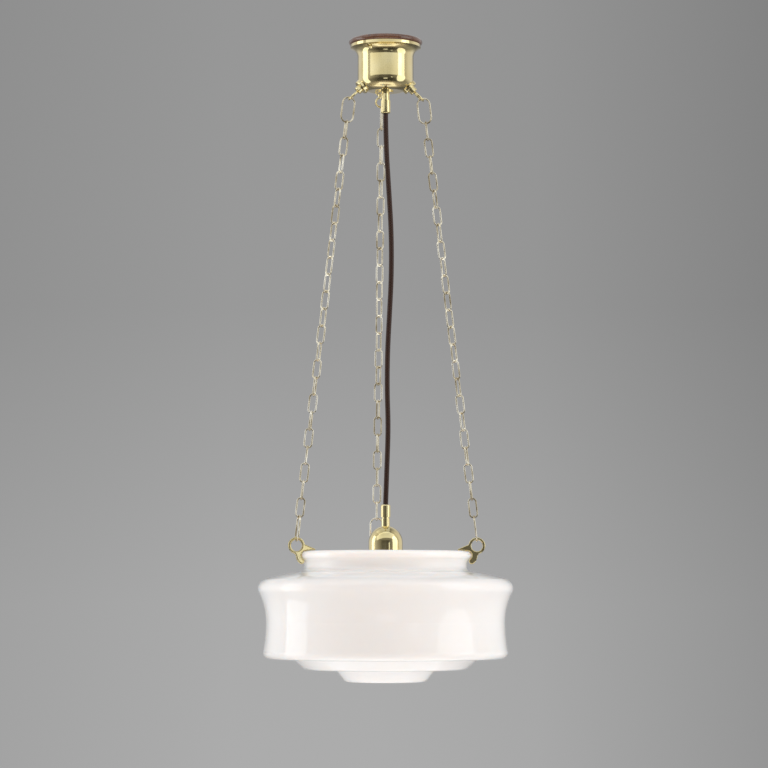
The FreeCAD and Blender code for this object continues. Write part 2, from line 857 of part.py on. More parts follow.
def make_bulb():
    cap_bottom = -(S.bulb_cap_top + S.bulb_cap_length)
    cap_bore = S.bulb_cap_radius - S.bulb_cap_wall
    tube = sleeve("bulb_cap_tube", cap_bore, S.bulb_cap_radius, S.bulb_cap_length)
    pieces = [at_holder(tube, cap_bottom)]
    pin_end = S.bulb_cap_radius + S.pin_reach
    for mark, turn in (("a", 90), ("b", -90)):
        pin = solid("Cylinder", "bulb_pin_" + mark, Radius=S.pin_radius, Height=pin_end - cap_bore)
        start = cap_bore if turn > 0 else -cap_bore
        pieces.append(at_holder(pin, -S.pin_depth, start, 0, Rotation(Vector(0, 1, 0), turn)))
    node(fused("bulb_cap", pieces))

    seal_top = S.bulb_seal_rise - S.bulb_cap_top
    seal = solid("Cylinder", "bulb_insulator", Radius=cap_bore - S.seat_gap, Height=S.bulb_seal_thick)
    node(at_holder(seal, seal_top - S.bulb_seal_thick))
    contacts = []
    for mark, x in contact_sides():
        contact = solid("Cylinder", "bulb_contact_" + mark, Radius=S.bulb_contact_radius,
                        Height=CONTACT_TOP - seal_top)
        contacts.append(at_holder(contact, seal_top, x))
    node(grouped("bulb_contacts", contacts))

    neck = cap_bore - S.run_gap
    flare_foot = S.bulb_radius + S.bulb_flare_drop
    top = flare_foot + S.bulb_neck_length
    flare = ((neck * neck + S.bulb_flare_drop * S.bulb_flare_drop - S.bulb_radius * S.bulb_radius)
             / (2 * (S.bulb_radius - neck)))
    inner = S.bulb_radius - S.bulb_wall
    spread = (neck + flare) / (flare + S.bulb_radius)
    climb = S.bulb_flare_drop / (flare + S.bulb_radius)
    glass = turned("bulb_glass", [
        (0, 0),
        (S.bulb_radius * spread, S.bulb_radius + S.bulb_radius * climb, S.bulb_radius, 1),
        (neck, flare_foot, flare, -1),
        (neck, top),
        (neck - S.bulb_wall, top),
        (neck - S.bulb_wall, flare_foot),
        (inner * spread, S.bulb_radius + inner * climb, flare + S.bulb_wall, 1),
        (0, S.bulb_wall, inner, -1),
    ])
    node(at_holder(glass, cap_bottom - flare_foot))


# Chains

def make_link_form(name, length, width, wire):
    """One link in the XY plane, its long way along Y, as two bends and two straight sides."""
    bend = (width - wire) / 2
    straight = length - width
    pieces = []
    for mark, side in (("a", 1), ("b", -1)):
        half = solid("Torus", "%s_bend_%s" % (name, mark), Radius1=bend, Radius2=wire / 2, Angle3=180)
        turn = Rotation(UP, 0 if side > 0 else 180)
        pieces.append(place(half, 0, straight / 2 * side, 0, turn))
        bar = solid("Cylinder", "%s_side_%s" % (name, mark), Radius=wire / 2, Height=straight)
        pieces.append(place(bar, bend * side, -straight / 2, 0, Rotation(Vector(1, 0, 0), -90)))
    return fused(name, pieces)


def eye_point(side):
    """The middle of the eye's wire where the chain hangs."""
    return eye_frame(side).multVec(Vector(0, 0, (EYE_RING_CENTRE + S.eye_ring_radius).value))


LARGE_SPAN = (S.large_link_length - S.large_link_wire).value
SMALL_SPAN = (S.small_link_length - S.small_link_wire).value
LARGE_WIRE = S.large_link_wire.value / 2
SMALL_WIRE = S.small_link_wire.value / 2
EYE_WIRE = S.eye_ring_wire.value / 2
SMALL_COUNT = int(S.small_link_count.value)
JOINT_COUNT = SMALL_COUNT + 2
TIGHT_LENGTH = (2 * LARGE_SPAN - EYE_WIRE - 3 * LARGE_WIRE - SMALL_WIRE * 2 * SMALL_COUNT
                + SMALL_COUNT * SMALL_SPAN)
HOOK_REACH = (S.neck_radius + S.bead_offset + S.hook_ring_offset).value


def hook_point(side, depth):
    point = outward(AZIMUTHS[side]) * HOOK_REACH
    point.z = -depth
    return point


def chain_foot_depth():
    """Depth of the lowest wire of the chains, from the length of the left one."""
    eye = eye_point("left")
    plan = hook_point("left", 0) - Vector(eye.x, eye.y, 0)
    length = TIGHT_LENGTH - JOINT_COUNT * S.run_gap.value
    return math.sqrt(length ** 2 - plan.Length ** 2) - eye.z


CHAIN_FOOT = chain_foot_depth()


def link_tops(gap):
    """Distance along the chain from the eye's wire to each link's upper wire, and each link's span."""
    large = (LARGE_WIRE, LARGE_SPAN)
    links = [large] + [(SMALL_WIRE, SMALL_SPAN)] * SMALL_COUNT + [large]
    places = []
    above = EYE_WIRE
    reached = 0.0
    for wire, span in links:
        top = reached - above - wire - gap
        places.append((top, span))
        above = wire
        reached = top + span
    return places


def link_placements(side):
    eye = eye_point(side)
    foot = hook_point(side, CHAIN_FOOT)
    length = (foot - eye).Length
    gap = (TIGHT_LENGTH - length) / JOINT_COUNT
    along = (foot - eye).normalize()
    across = sideways(AZIMUTHS[side])
    across = (across - along * across.dot(along)).normalize()
    goal = outward(AZIMUTHS[side])
    goal = (goal - along * goal.dot(along)).normalize()
    total = math.degrees(math.atan2(along.dot(across.cross(goal)), across.dot(goal)))
    total = (total + 90) % 180 - 90
    places = link_tops(gap)
    last = len(places) - 1
    found = []
    for number, (top, span) in enumerate(places):
        sway = math.sin(math.radians(S.chain_wobble_angle.value * number))
        wobble = S.chain_wobble.value * sway * math.sin(math.pi * number / last)
        twist = 90 * (number % 2) + total * number / last + wobble
        normal = Rotation(along, twist).multVec(across)
        upward = along * -1
        right = upward.cross(normal)
        middle = eye + along * (top + span / 2)
        found.append(Placement(Matrix(
            right.x, upward.x, normal.x, middle.x,
            right.y, upward.y, normal.y, middle.y,
            right.z, upward.z, normal.z, middle.z,
            0, 0, 0, 1)))
    print("chain %s: length %.2f, gap between wires %.3f" % (side, length, gap))
    return found


def make_chains():
    large = make_link_form("large_link_form", S.large_link_length, S.large_link_width, S.large_link_wire)
    small = make_link_form("small_link_form", S.small_link_length, S.small_link_width, S.small_link_wire)
    DOC.recompute()
    for side in SIDES:
        spots = link_placements(side)
        node(shaped("chain_%s_top_link" % side, large.Shape, spots[0]))
        links = []
        for spot in spots[1:-1]:
            link = small.Shape.copy()
            link.Placement = spot
            links.append(link)
        node(shaped("chain_%s_links" % side, Part.makeCompound(links)))
        node(shaped("chain_%s_last_link" % side, large.Shape, spots[-1]))


# Glass shade and its hooks

HOOK_RING_DEPTH = CHAIN_FOOT + S.hook_hole_radius.value - LARGE_WIRE - S.hook_gap.value
BEAD_DEPTH = HOOK_RING_DEPTH + S.hook_ring_rise.value
RIM_DEPTH = BEAD_DEPTH - S.bead_radius.value


def face_edges(pad):
    """The names of the edges round the two flat faces of an upright plate."""
    DOC.recompute()
    names = []
    for number, edge in enumerate(pad.Shape.Edges, start=1):
        ends = [vertex.Y for vertex in edge.Vertexes]
        if max(ends) - min(ends) < TOUCHING:
            names.append("Edge%d" % number)
    return names


def make_hook(side):
    """A flat plate: a ring for the chain, a prong over the rim and a claw under the bead."""
    notch = S.bead_radius + S.run_gap
    claw = notch + S.hook_claw_thick
    bead_x = S.hook_prong_reach
    bead_y = claw
    ring_x = bead_x + S.hook_ring_offset
    ring_y = bead_y + S.hook_ring_rise

    def around(x, y, radius, angle):
        return (x + radius * cosine(angle), y + radius * sine(angle))

    tip = S.hook_claw_thick / 2
    inner_end = around(bead_x, bead_y, notch, -S.hook_claw_angle)
    outer_end = around(bead_x, bead_y, claw, -S.hook_claw_angle)
    tip_centre = around(bead_x, bead_y, notch + tip, -S.hook_claw_angle)
    tip_end = around(tip_centre[0], tip_centre[1], tip, -S.hook_claw_angle - 90)
    prong_under = bead_y + notch + S.hook_prong_lift
    outline = [
        (0, prong_under),
        (bead_x, bead_y + notch),
        (bead_x + notch, bead_y, notch, -1),
        inner_end + (notch, -1),
        tip_end + (tip, 1),
        outer_end + (tip, 1),
        (bead_x + claw, bead_y, claw, 1),
        around(ring_x, ring_y, S.hook_ring_radius, -S.hook_join_angle),
        around(ring_x, ring_y, S.hook_ring_radius, S.hook_crest_angle) + (S.hook_ring_radius, 1),
        around(ring_x, ring_y, S.hook_ring_radius, S.hook_back_angle) + (S.hook_ring_radius, 1),
        (0, prong_under + S.hook_prong_tip),
    ]
    name = "hook_" + side
    body = DOC.addObject("PartDesign::Body", name)
    sketch = sketch_in(body, name + "_outline")
    draw(sketch, outline)
    draw_circle(sketch, ring_x, ring_y, S.hook_hole_radius)
    pad = body.newObject("PartDesign::Pad", name + "_plate")
    pad.Profile = sketch
    pad.setExpression("Length", S.hook_thick.text)
    pad.Midplane = True
    rounding = body.newObject("PartDesign::Fillet", name + "_rounding")
    rounding.Base = (pad, face_edges(pad))
    rounding.setExpression("Radius", S.hook_round.text)
    turn = Rotation(UP, AZIMUTHS[side])
    inner = HOOK_REACH - ring_x.value
    spot = outward(AZIMUTHS[side]) * inner
    spot.z = -BEAD_DEPTH - bead_y.value
    body.Placement = Placement(spot, turn)
    node(body)


def facing(degrees):
    angle = math.radians(degrees)
    return Vector(math.cos(angle), 0, math.sin(angle))


def facing_of(direction):
    return math.degrees(math.atan2(direction.z, direction.x))


def flat_point(radius, height):
    return Vector(radius, 0, height)


def step_bends(corner_radius, corner_depth, slope, hollow, bend):
    """A step down towards the middle: the hollow bend, and where the next bend's centre may lie."""
    faces = facing(slope - 90)
    corner = flat_point(corner_radius, -corner_depth)
    hollow_centre = flat_point(corner_radius + hollow * math.tan(math.radians(slope / 2)), -corner_depth - hollow)
    travel = Vector(faces.z, 0, -faces.x)
    return hollow_centre, corner - faces * bend, travel


def lip_bends():
    """The rolled lip: its bead from the inner wall outwards, and the hollow that runs into the neck."""
    bead = S.bead_radius.value
    hollow = S.lip_hollow.value
    bead_centre = flat_point((S.neck_radius + S.bead_offset).value, -bead)
    aside = hollow - S.bead_offset.value
    hollow_centre = bead_centre + Vector(aside, 0, -math.sqrt((bead + hollow) ** 2 - aside ** 2))
    bead_end = facing_of(hollow_centre - bead_centre)
    bead_start = math.degrees(math.acos(-(S.bead_offset + S.glass_wall).value / bead))
    return [(bead_centre, bead, bead_start, bead_end), (hollow_centre, -hollow, bead_end, 0)]


def glass_bends():
    """The bends from neck to base: centre, radius (negative where hollow), first and last facing."""
    fillet = S.neck_fillet.value
    shoulder = S.shoulder_radius.value
    edge = S.edge_bend.value
    waist = (S.shade_radius - S.waist_inset).value
    flare = S.flare_radius.value
    foot = S.foot_bend.value
    hollow = S.step_hollow.value
    crown = S.crown_radius.value

    neck_top = lip_bends()[-1][0].z
    neck_centre = flat_point(S.neck_radius.value + fillet, neck_top - S.neck_straight.value)
    edge_centre = flat_point(S.shade_radius.value - edge, -S.edge_depth.value)
    between = edge_centre - neck_centre
    long_side = shoulder + fillet
    short_side = shoulder - edge
    share = (long_side ** 2 - short_side ** 2 + between.Length ** 2) / (2 * between.Length)
    drop = math.sqrt(long_side ** 2 - share ** 2)
    ahead = between.normalize()
    shoulder_centre = neck_centre + ahead * share + Vector(ahead.z, 0, -ahead.x) * drop
    neck_end = facing_of(neck_centre - shoulder_centre)
    shoulder_end = facing_of(edge_centre - shoulder_centre)

    step_in = waist - edge_centre.x
    step_down = S.waist_depth.value - S.edge_depth.value
    waist_bend = (step_in ** 2 + step_down ** 2 - edge ** 2) / (2 * (edge - step_in))
    waist_centre = flat_point(waist + waist_bend, -S.waist_depth.value)
    edge_end = facing_of(waist_centre - edge_centre)

    flare_centre = flat_point(waist + flare, -S.waist_depth.value)
    foot_drop = S.base_depth.value - foot - S.waist_depth.value
    foot_centre = flat_point(flare_centre.x - math.sqrt((flare + foot) ** 2 - foot_drop ** 2),
                             -S.base_depth.value + foot)
    flare_end = facing_of(flare_centre - foot_centre)

    second_slope = S.second_tier_slope.value
    second_bend = S.second_tier_bend.value
    second_hollow, on_line, travel = step_bends((S.shade_radius - S.second_tier_inset).value,
                                                S.base_depth.value, second_slope, hollow, second_bend)
    fall = on_line.z + S.second_tier_depth.value - second_bend
    second_centre = on_line + travel * (fall / -travel.z)

    third_slope = S.third_tier_slope.value
    third_bend = S.third_tier_bend.value
    third_hollow, on_line, travel = step_bends((S.shade_radius - S.third_tier_inset).value,
                                               S.second_tier_depth.value, third_slope, hollow, third_bend)
    crown_centre = flat_point(0, crown - S.shade_height.value)
    offset = on_line - crown_centre
    run = offset.dot(travel)
    reach = math.sqrt(run ** 2 - offset.Length ** 2 + (crown - third_bend) ** 2) - run
    third_centre = on_line + travel * reach
    third_end = facing_of(third_centre - crown_centre)

    return [
        (neck_centre, -fillet, 0, neck_end),
        (shoulder_centre, shoulder, neck_end, shoulder_end),
        (edge_centre, edge, shoulder_end, edge_end),
        (waist_centre, -waist_bend, edge_end, 0),
        (flare_centre, -flare, 0, flare_end),
        (foot_centre, foot, flare_end, -90),
        (second_hollow, -hollow, -90, second_slope - 90),
        (second_centre, second_bend, second_slope - 90, -90),
        (third_hollow, -hollow, -90, third_slope - 90),
        (third_centre, third_bend, third_slope - 90, third_end),
        (crown_centre, crown, third_end, -90),
    ]


def edges_along(reached, bends, inset):
    """Arcs, set in from the outer face, and the straight runs that join them."""
    edges = []
    for centre, radius, first, last in bends:
        size = radius - inset
        begin = centre + facing(first) * size
        middle = centre + facing((first + last) / 2) * size
        end = centre + facing(last) * size
        if (begin - reached).Length > TOUCHING:
            edges.append(Part.LineSegment(reached, begin).toShape())
        edges.append(Part.Arc(begin, middle, end).toShape())
        reached = end
    return edges


def make_glass():
    bead_centre, bead, bead_start, _ = lip_bends()[0]
    rim = bead_centre + facing(bead_start) * bead
    wall = S.glass_wall.value
    outer = edges_along(rim, lip_bends() + glass_bends(), 0)
    inner = edges_along(rim, glass_bends(), wall)
    floor = flat_point(0, -S.shade_height.value)
    middle = Part.LineSegment(floor, floor + UP * wall).toShape()
    outline = Part.Wire(outer + [middle] + inner[::-1])
    shade = shaped("glass_shade", Part.Face(outline).revolve(Vector(0, 0, 0), UP, 360))
    shade.Placement = Placement(Vector(0, 0, -RIM_DEPTH), Rotation())
    node(shade)


def check_and_write():
    DOC.recompute()
    for thing in DOC.Objects:
        if "Invalid" in thing.State or "Error" in thing.State:
            raise RuntimeError("%s failed: %s" % (thing.Name, thing.State))
    for piece in NODES:
        if piece.Shape.isNull() or not piece.Shape.isValid() or not piece.Shape.Solids:
            raise RuntimeError("%s has no valid solid" % piece.Label)
    os.makedirs("parts", exist_ok=True)
    for piece in NODES:
        piece.Shape.exportStep("parts/%s.step" % piece.Label)
    print("%d nodes, %d solids" % (len(NODES), sum(len(piece.Shape.Solids) for piece in NODES)))


write_sheet()
make_plate()
make_cup()
make_rose_screws()
for each_side in SIDES:
    make_eye(each_side)
make_eye_nuts()
make_stem()
make_cord_grip("rose", S.rose_grip_radius, S.rose_grip_length, ROSE_MOUTH, Rotation())
make_terminal_block()
make_upper_wiring()
make_chains()
for each_side in SIDES:
    make_hook(each_side)
make_glass()
make_flex()
make_cord_grip("holder", S.holder_grip_radius, S.holder_grip_length, HOLDER_TOP, Rotation(Vector(1, 0, 0), 180))
make_holder_neck()
make_holder_cap()
make_holder_shell()
make_holder_insulator()
make_plungers()
make_terminals()
make_lower_wiring()
make_bulb()
check_and_write()
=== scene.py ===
# Dresses the pendant light for its picture: finishes, flex, springs, hooks, floor, light and camera.
# Lengths are in metres, +Z is up, and the camera looks along +Y.
import bpy
import math
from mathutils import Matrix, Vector


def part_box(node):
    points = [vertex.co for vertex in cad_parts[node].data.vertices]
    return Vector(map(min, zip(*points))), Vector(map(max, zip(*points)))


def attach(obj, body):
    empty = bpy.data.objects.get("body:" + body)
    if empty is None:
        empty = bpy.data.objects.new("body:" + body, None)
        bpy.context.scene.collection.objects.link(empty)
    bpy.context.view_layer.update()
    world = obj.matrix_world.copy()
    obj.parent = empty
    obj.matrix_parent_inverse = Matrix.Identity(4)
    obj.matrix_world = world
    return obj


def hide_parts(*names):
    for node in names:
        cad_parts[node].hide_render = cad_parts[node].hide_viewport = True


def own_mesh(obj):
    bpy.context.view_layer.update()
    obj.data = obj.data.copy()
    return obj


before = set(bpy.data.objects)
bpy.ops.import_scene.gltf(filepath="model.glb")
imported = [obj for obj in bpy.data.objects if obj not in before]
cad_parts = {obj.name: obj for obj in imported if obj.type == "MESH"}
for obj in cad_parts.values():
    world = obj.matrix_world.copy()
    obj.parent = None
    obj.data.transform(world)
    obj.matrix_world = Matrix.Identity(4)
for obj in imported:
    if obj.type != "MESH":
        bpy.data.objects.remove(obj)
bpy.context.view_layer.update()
scene = bpy.context.scene
scene.view_settings.view_transform = "Standard"

# Flex: sideways place and depth below its upper end. The points lie near those of the solid flex and
# were moved so that the smooth line has the bow of the real one.
FLEX_ROUTE = [(0.0, 0.0), (0.0006, 0.045), (0.0044, 0.105), (0.0080, 0.165), (0.0081, 0.225),
              (0.0056, 0.275), (0.0026, 0.330), (0.0020, 0.385), (0.0038, 0.435), (0.0016, 0.495),
              (0.0, 0.541)]
FLEX_TOP = -0.1039
FLEX_RADIUS = 0.0035
FLEX_SMOOTHNESS = 24

# Springs above the two sprung contacts of the lamp holder
SPRING_RADIUS = 0.0022
SPRING_WIRE = 0.00025
SPRING_TURNS = 5
SPRING_STEPS = 16
SPRING_SMOOTHNESS = 6

# Cast hooks: a fine skin over the flat form, eased at its edges and filled out again
HOOK_SKIN = 0.0004
HOOK_EASING = 0.5
HOOK_ROUNDS = 9
HOOK_FILL = 0.00025

# Camera, level with the lower part of the bowl and tilted up a little
CAMERA_AZIMUTH = math.radians(-6.0)
CAMERA_DISTANCE = 3.9
CAMERA_HEIGHT = -0.770
CAMERA_LENS = 133.12
CAMERA_SENSOR = 36.0
CAMERA_REACH = 100.0
AIM_HEIGHT = -0.4795
AIM_SIDE = -0.0022
VIEW_RIGHT = Vector((math.cos(CAMERA_AZIMUTH), math.sin(CAMERA_AZIMUTH), 0))
VIEW_BACK = Vector((math.sin(CAMERA_AZIMUTH), -math.cos(CAMERA_AZIMUTH), 0))

# Room: a pale floor that fades towards its edge, and the light that the room gives
FLOOR_HEIGHT = -2.4
FLOOR_RADIUS = 2.5
FLOOR_SIDES = 96
FLOOR_FADE = 0.5
FLOOR_COLOUR = (0.82, 0.80, 0.78, 1)
FLOOR_ROUGHNESS = 0.8
ROOM_FRONT = (1.0, 0.84, 0.75, 1)
ROOM_REAR = (0.78, 0.79, 0.80, 1)
ROOM_BELOW = (1.62, 1.53, 1.47, 1)
LAMP_COLOUR = (0.93, 0.975, 1.0)

# Colours of the finishes, from their darkest to their lightest patches
BRASS_COLOURS = ((0.75, 0.612, 0.293, 1), (0.79, 0.66, 0.336, 1), (0.817, 0.693, 0.377, 1))
CHAIN_COLOURS = ((0.40, 0.325, 0.20, 1), (0.80, 0.715, 0.535, 1), (0.94, 0.88, 0.74, 1))
WOOD_COLOURS = ((0.050, 0.019, 0.010, 1), (0.094, 0.040, 0.021, 1), (0.140, 0.066, 0.034, 1))
GLASS_COLOURS = ((0.925, 0.910, 0.895, 1), (0.945, 0.932, 0.918, 1))
SHEATH_COLOURS = ((0.014, 0.0058, 0.0036, 1), (0.036, 0.0165, 0.0105, 1))

# How far a wooden face looks up where its varnish ends, and where it is quite bare
VARNISH_END = 0.90
BARE_START = 0.98


def grey(level):
    return (level, level, level, 1)


class Graph:
    """The nodes of one material or world, with short calls for the ones that are used often."""

    def __init__(self, owner, shader, place):
        self.owner = owner
        owner.use_nodes = True
        self.nodes = owner.node_tree.nodes
        self.links = owner.node_tree.links
        self.shader = self.nodes[shader]
        self.place = self.nodes.new("ShaderNodeTexCoord").outputs[place]

    def set(self, **values):
        for key, value in values.items():
            self.shader.inputs[key.replace("_", " ")].default_value = value

    def feed(self, socket, output):
        self.links.new(output, self.shader.inputs[socket])

    def stretched(self, x, y, z):
        node = self.nodes.new("ShaderNodeMapping")
        node.inputs["Scale"].default_value = (x, y, z)
        self.links.new(self.place, node.inputs["Vector"])
        return node.outputs["Vector"]

    def along(self, direction, vector=None):
        """How far a point, a ray or another vector lies along a direction."""
        node = self.nodes.new("ShaderNodeVectorMath")
        node.operation = "DOT_PRODUCT"
        node.inputs[1].default_value = direction
        self.links.new(vector or self.place, node.inputs[0])
        return node.outputs["Value"]

    def noise(self, scale, detail, vector=None, distortion=0.0):
        node = self.nodes.new("ShaderNodeTexNoise")
        node.inputs["Scale"].default_value = scale
        node.inputs["Detail"].default_value = detail
        node.inputs["Distortion"].default_value = distortion
        self.links.new(vector or self.place, node.inputs["Vector"])
        return node.outputs["Fac"]

    def slanted_waves(self, scale, vector):
        node = self.nodes.new("ShaderNodeTexWave")
        node.bands_direction = "DIAGONAL"
        node.inputs["Scale"].default_value = scale
        self.links.new(vector, node.inputs["Vector"])
        return node.outputs["Fac"]

    def between(self, source, low, high, start=0.0, end=1.0):
        """The source, from start to end, spread from low to high."""
        node = self.nodes.new("ShaderNodeMapRange")
        node.inputs["From Min"].default_value = start
        node.inputs["From Max"].default_value = end
        node.inputs["To Min"].default_value = low
        node.inputs["To Max"].default_value = high
        self.links.new(source, node.inputs["Value"])
        return node.outputs["Result"]

    def ramp(self, source, *stops):
        """The colours of the stops, each a position from 0 to 1 and a colour."""
        node = self.nodes.new("ShaderNodeValToRGB")
        elements = node.color_ramp.elements
        while len(elements) < len(stops):
            elements.new(0.5)
        for element, (position, colour) in zip(elements, stops):
            element.position = position
            element.color = colour
        self.links.new(source, node.inputs["Fac"])
        return node.outputs["Color"]

    def greys(self, source, start, end, *stops):
        """Grey levels along the source from start to end, each stop a position from 0 to 1 and a level."""
        spread = self.between(source, 0.0, 1.0, start, end)
        return self.ramp(spread, *[(position, grey(level)) for position, level in stops])

    def combined(self, operation, first, second):
        node = self.nodes.new("ShaderNodeMath")
        node.operation = operation
        self.links.new(first, node.inputs[0])
        self.links.new(second, node.inputs[1])
        return node.outputs["Value"]

    def mixed(self, first, second, share=None, blend="MIX"):
        node = self.nodes.new("ShaderNodeMix")
        node.data_type = "RGBA"
        node.blend_type = blend
        node.inputs["Factor"].default_value = 1.0
        if share:
            self.links.new(share, node.inputs["Factor"])
        self.links.new(first, node.inputs["A"])
        self.links.new(second, node.inputs["B"])
        return node.outputs["Result"]

    def bump(self, height, distance, strength):
        node = self.nodes.new("ShaderNodeBump")
        node.inputs["Strength"].default_value = strength
        node.inputs["Distance"].default_value = distance
        self.links.new(height, node.inputs["Height"])
        self.feed("Normal", node.outputs["Normal"])


def finish_graph(name):
    return Graph(bpy.data.materials.new(name), "Principled BSDF", "Object")


def brass(name, colours):
    """Polished brass with faint clouds, rubbed along its height."""
    look = finish_graph(name)
    clouds = look.noise(scale=45.0, detail=4.0)
    look.feed("Base Color", look.ramp(clouds, *zip((0.34, 0.50, 0.66), colours)))
    rub = look.noise(scale=700.0, detail=3.0, vector=look.stretched(1.0, 1.0, 0.35))
    worn = look.combined("MULTIPLY", clouds, rub)
    look.feed("Roughness", look.between(worn, low=0.06, high=0.22))
    look.bump(look.noise(scale=140.0, detail=2.0), distance=0.00005, strength=0.10)
    look.set(Metallic=1.0, Coat_Weight=0.5, Coat_Roughness=0.04)
    return look.owner


def dark_wood():
    """Stained wood with its grain along X."""
    look = finish_graph("dark_wood_finish")
    streaks = look.noise(scale=150.0, detail=5.0, vector=look.stretched(0.05, 1.0, 0.6), distortion=0.6)
    pores = look.noise(scale=900.0, detail=3.0, vector=look.stretched(0.06, 1.0, 1.0))
    grain = look.combined("MULTIPLY", streaks, pores)
    look.feed("Base Color", look.ramp(grain, *zip((0.12, 0.25, 0.42), WOOD_COLOURS)))
    look.bump(grain, distance=0.0002, strength=0.10)
    look.set(Coat_Roughness=0.03)

    # The rim is varnished, and the face against the ceiling is left bare
    normal = look.nodes.new("ShaderNodeNewGeometry").outputs["Normal"]
    upward = look.along((0, 0, 1), normal)
    bare = look.between(upward, low=0.0, high=0.75, start=VARNISH_END, end=BARE_START)
    varnished = look.between(pores, low=0.12, high=0.26)
    look.feed("Roughness", look.combined("MAXIMUM", varnished, bare))
    look.feed("Coat Weight", look.between(upward, low=0.6, high=0.0, start=VARNISH_END, end=BARE_START))
    return look.owner


def opal_glass():
    """Milky glass with a clear, slightly wavy surface."""
    look = finish_graph("opal_glass_finish")
    clouds = look.noise(scale=9.0, detail=3.0, distortion=0.4)
    look.feed("Base Color", look.ramp(clouds, *zip((0.25, 0.75), GLASS_COLOURS)))
    look.feed("Roughness", look.between(look.noise(scale=120.0, detail=2.0), low=0.015, high=0.045))
    look.bump(look.noise(scale=14.0, detail=1.0), distance=0.0002, strength=0.10)
    look.set(Subsurface_Weight=0.9, Subsurface_Radius=(0.009, 0.0078, 0.007), Subsurface_Scale=1.0)
    look.set(Coat_Weight=0.3, Coat_Roughness=0.0, IOR=1.5)
    return look.owner


def flex_sheath():
    """A braid of two sets of slanted threads."""
    look = finish_graph("flex_sheath_finish")
    right = look.slanted_waves(scale=220.0, vector=look.stretched(1.0, 1.0, 0.8))
    left = look.slanted_waves(scale=220.0, vector=look.stretched(-1.0, -1.0, 0.8))
    weave = look.combined("MAXIMUM", right, left)
    look.feed("Base Color", look.ramp(weave, *zip((0.20, 0.80), SHEATH_COLOURS)))
    look.feed("Roughness", look.between(weave, low=0.30, high=0.46))
    look.bump(weave, distance=0.0002, strength=0.35)
    look.set(Specular_IOR_Level=0.20, Coat_Weight=0.08, Coat_Roughness=0.20)
    return look.owner


def moulded(name, low, high, roughness, scale=300.0, metallic=0.0):
    """A small moulded or pressed piece: a slightly uneven colour with a fine skin, finer on metal."""
    look = finish_graph(name)
    skin = look.noise(scale=scale, detail=3.0)
    look.feed("Base Color", look.ramp(skin, (0.30, low), (0.70, high)))
    look.feed("Roughness", look.between(skin, low=roughness * 0.8, high=roughness * 1.2))
    look.bump(skin, distance=0.0001, strength=0.2 - 0.17 * metallic)
    look.set(Metallic=metallic)
    return look.owner


FINISHES = {
    "brass": brass("brass_finish", BRASS_COLOURS),
    "chain": brass("chain_finish", CHAIN_COLOURS),
    "dark_wood": dark_wood(),
    "opal_glass": opal_glass(),
    "flex_sheath": flex_sheath(),
    "core_sheath": moulded("core_sheath_finish", (0.10, 0.05, 0.03, 1), (0.16, 0.08, 0.05, 1),
                           roughness=0.45),
    "nylon": moulded("nylon_finish", (0.62, 0.60, 0.54, 1), (0.72, 0.70, 0.64, 1),
                     roughness=0.50),
    "steel": moulded("steel_finish", (0.50, 0.50, 0.49, 1), (0.62, 0.61, 0.60, 1),
                     roughness=0.30, scale=500.0, metallic=1.0),
    "porcelain": moulded("porcelain_finish", (0.74, 0.72, 0.67, 1), (0.82, 0.80, 0.75, 1),
                         roughness=0.22),
    "bulb_metal": moulded("bulb_metal_finish", (0.58, 0.57, 0.54, 1), (0.70, 0.69, 0.66, 1),
                          roughness=0.28, scale=400.0, metallic=1.0),
    "bulb_seal": moulded("bulb_seal_finish", (0.03, 0.03, 0.03, 1), (0.06, 0.06, 0.06, 1),
                         roughness=0.35),
    "bulb_glass": moulded("bulb_glass_finish", (0.80, 0.79, 0.76, 1), (0.86, 0.85, 0.82, 1),
                          roughness=0.30, scale=60.0),
}


def dress_parts():
    """Gives each solid the finish that its slot is named after; the chains have a paler brass."""
    for name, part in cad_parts.items():
        for slot in part.material_slots:
            finish = slot.material.name.split(".")[0]
            slot.material = FINISHES["chain" if name.startswith("chain_") else finish]


def bent_round(name, points, radius, smoothness, finish):
    """A round wire or cord along a smooth line near the points and through the two outer ones."""
    line = bpy.data.curves.new(name + "_line", "CURVE")
    line.dimensions = "3D"
    line.bevel_depth = radius
    line.bevel_resolution = smoothness // 3
    line.use_fill_caps = True
    spline = line.splines.new("NURBS")
    spline.points.add(len(points) - 1)
    for point, place in zip(spline.points, points):
        point.co = (*place, 1)
    spline.order_u = 3
    spline.use_endpoint_u = True
    spline.resolution_u = smoothness
    line.materials.append(FINISHES[finish])
    rod = bpy.data.objects.new(name, line)
    scene.collection.objects.link(rod)
    return rod


def make_flex():
    points = [(side, 0, FLEX_TOP - depth) for side, depth in FLEX_ROUTE]
    flex = bent_round("hanging_flex", points, FLEX_RADIUS, FLEX_SMOOTHNESS, "flex_sheath")
    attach(flex, "lamp_drop")
    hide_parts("flex")


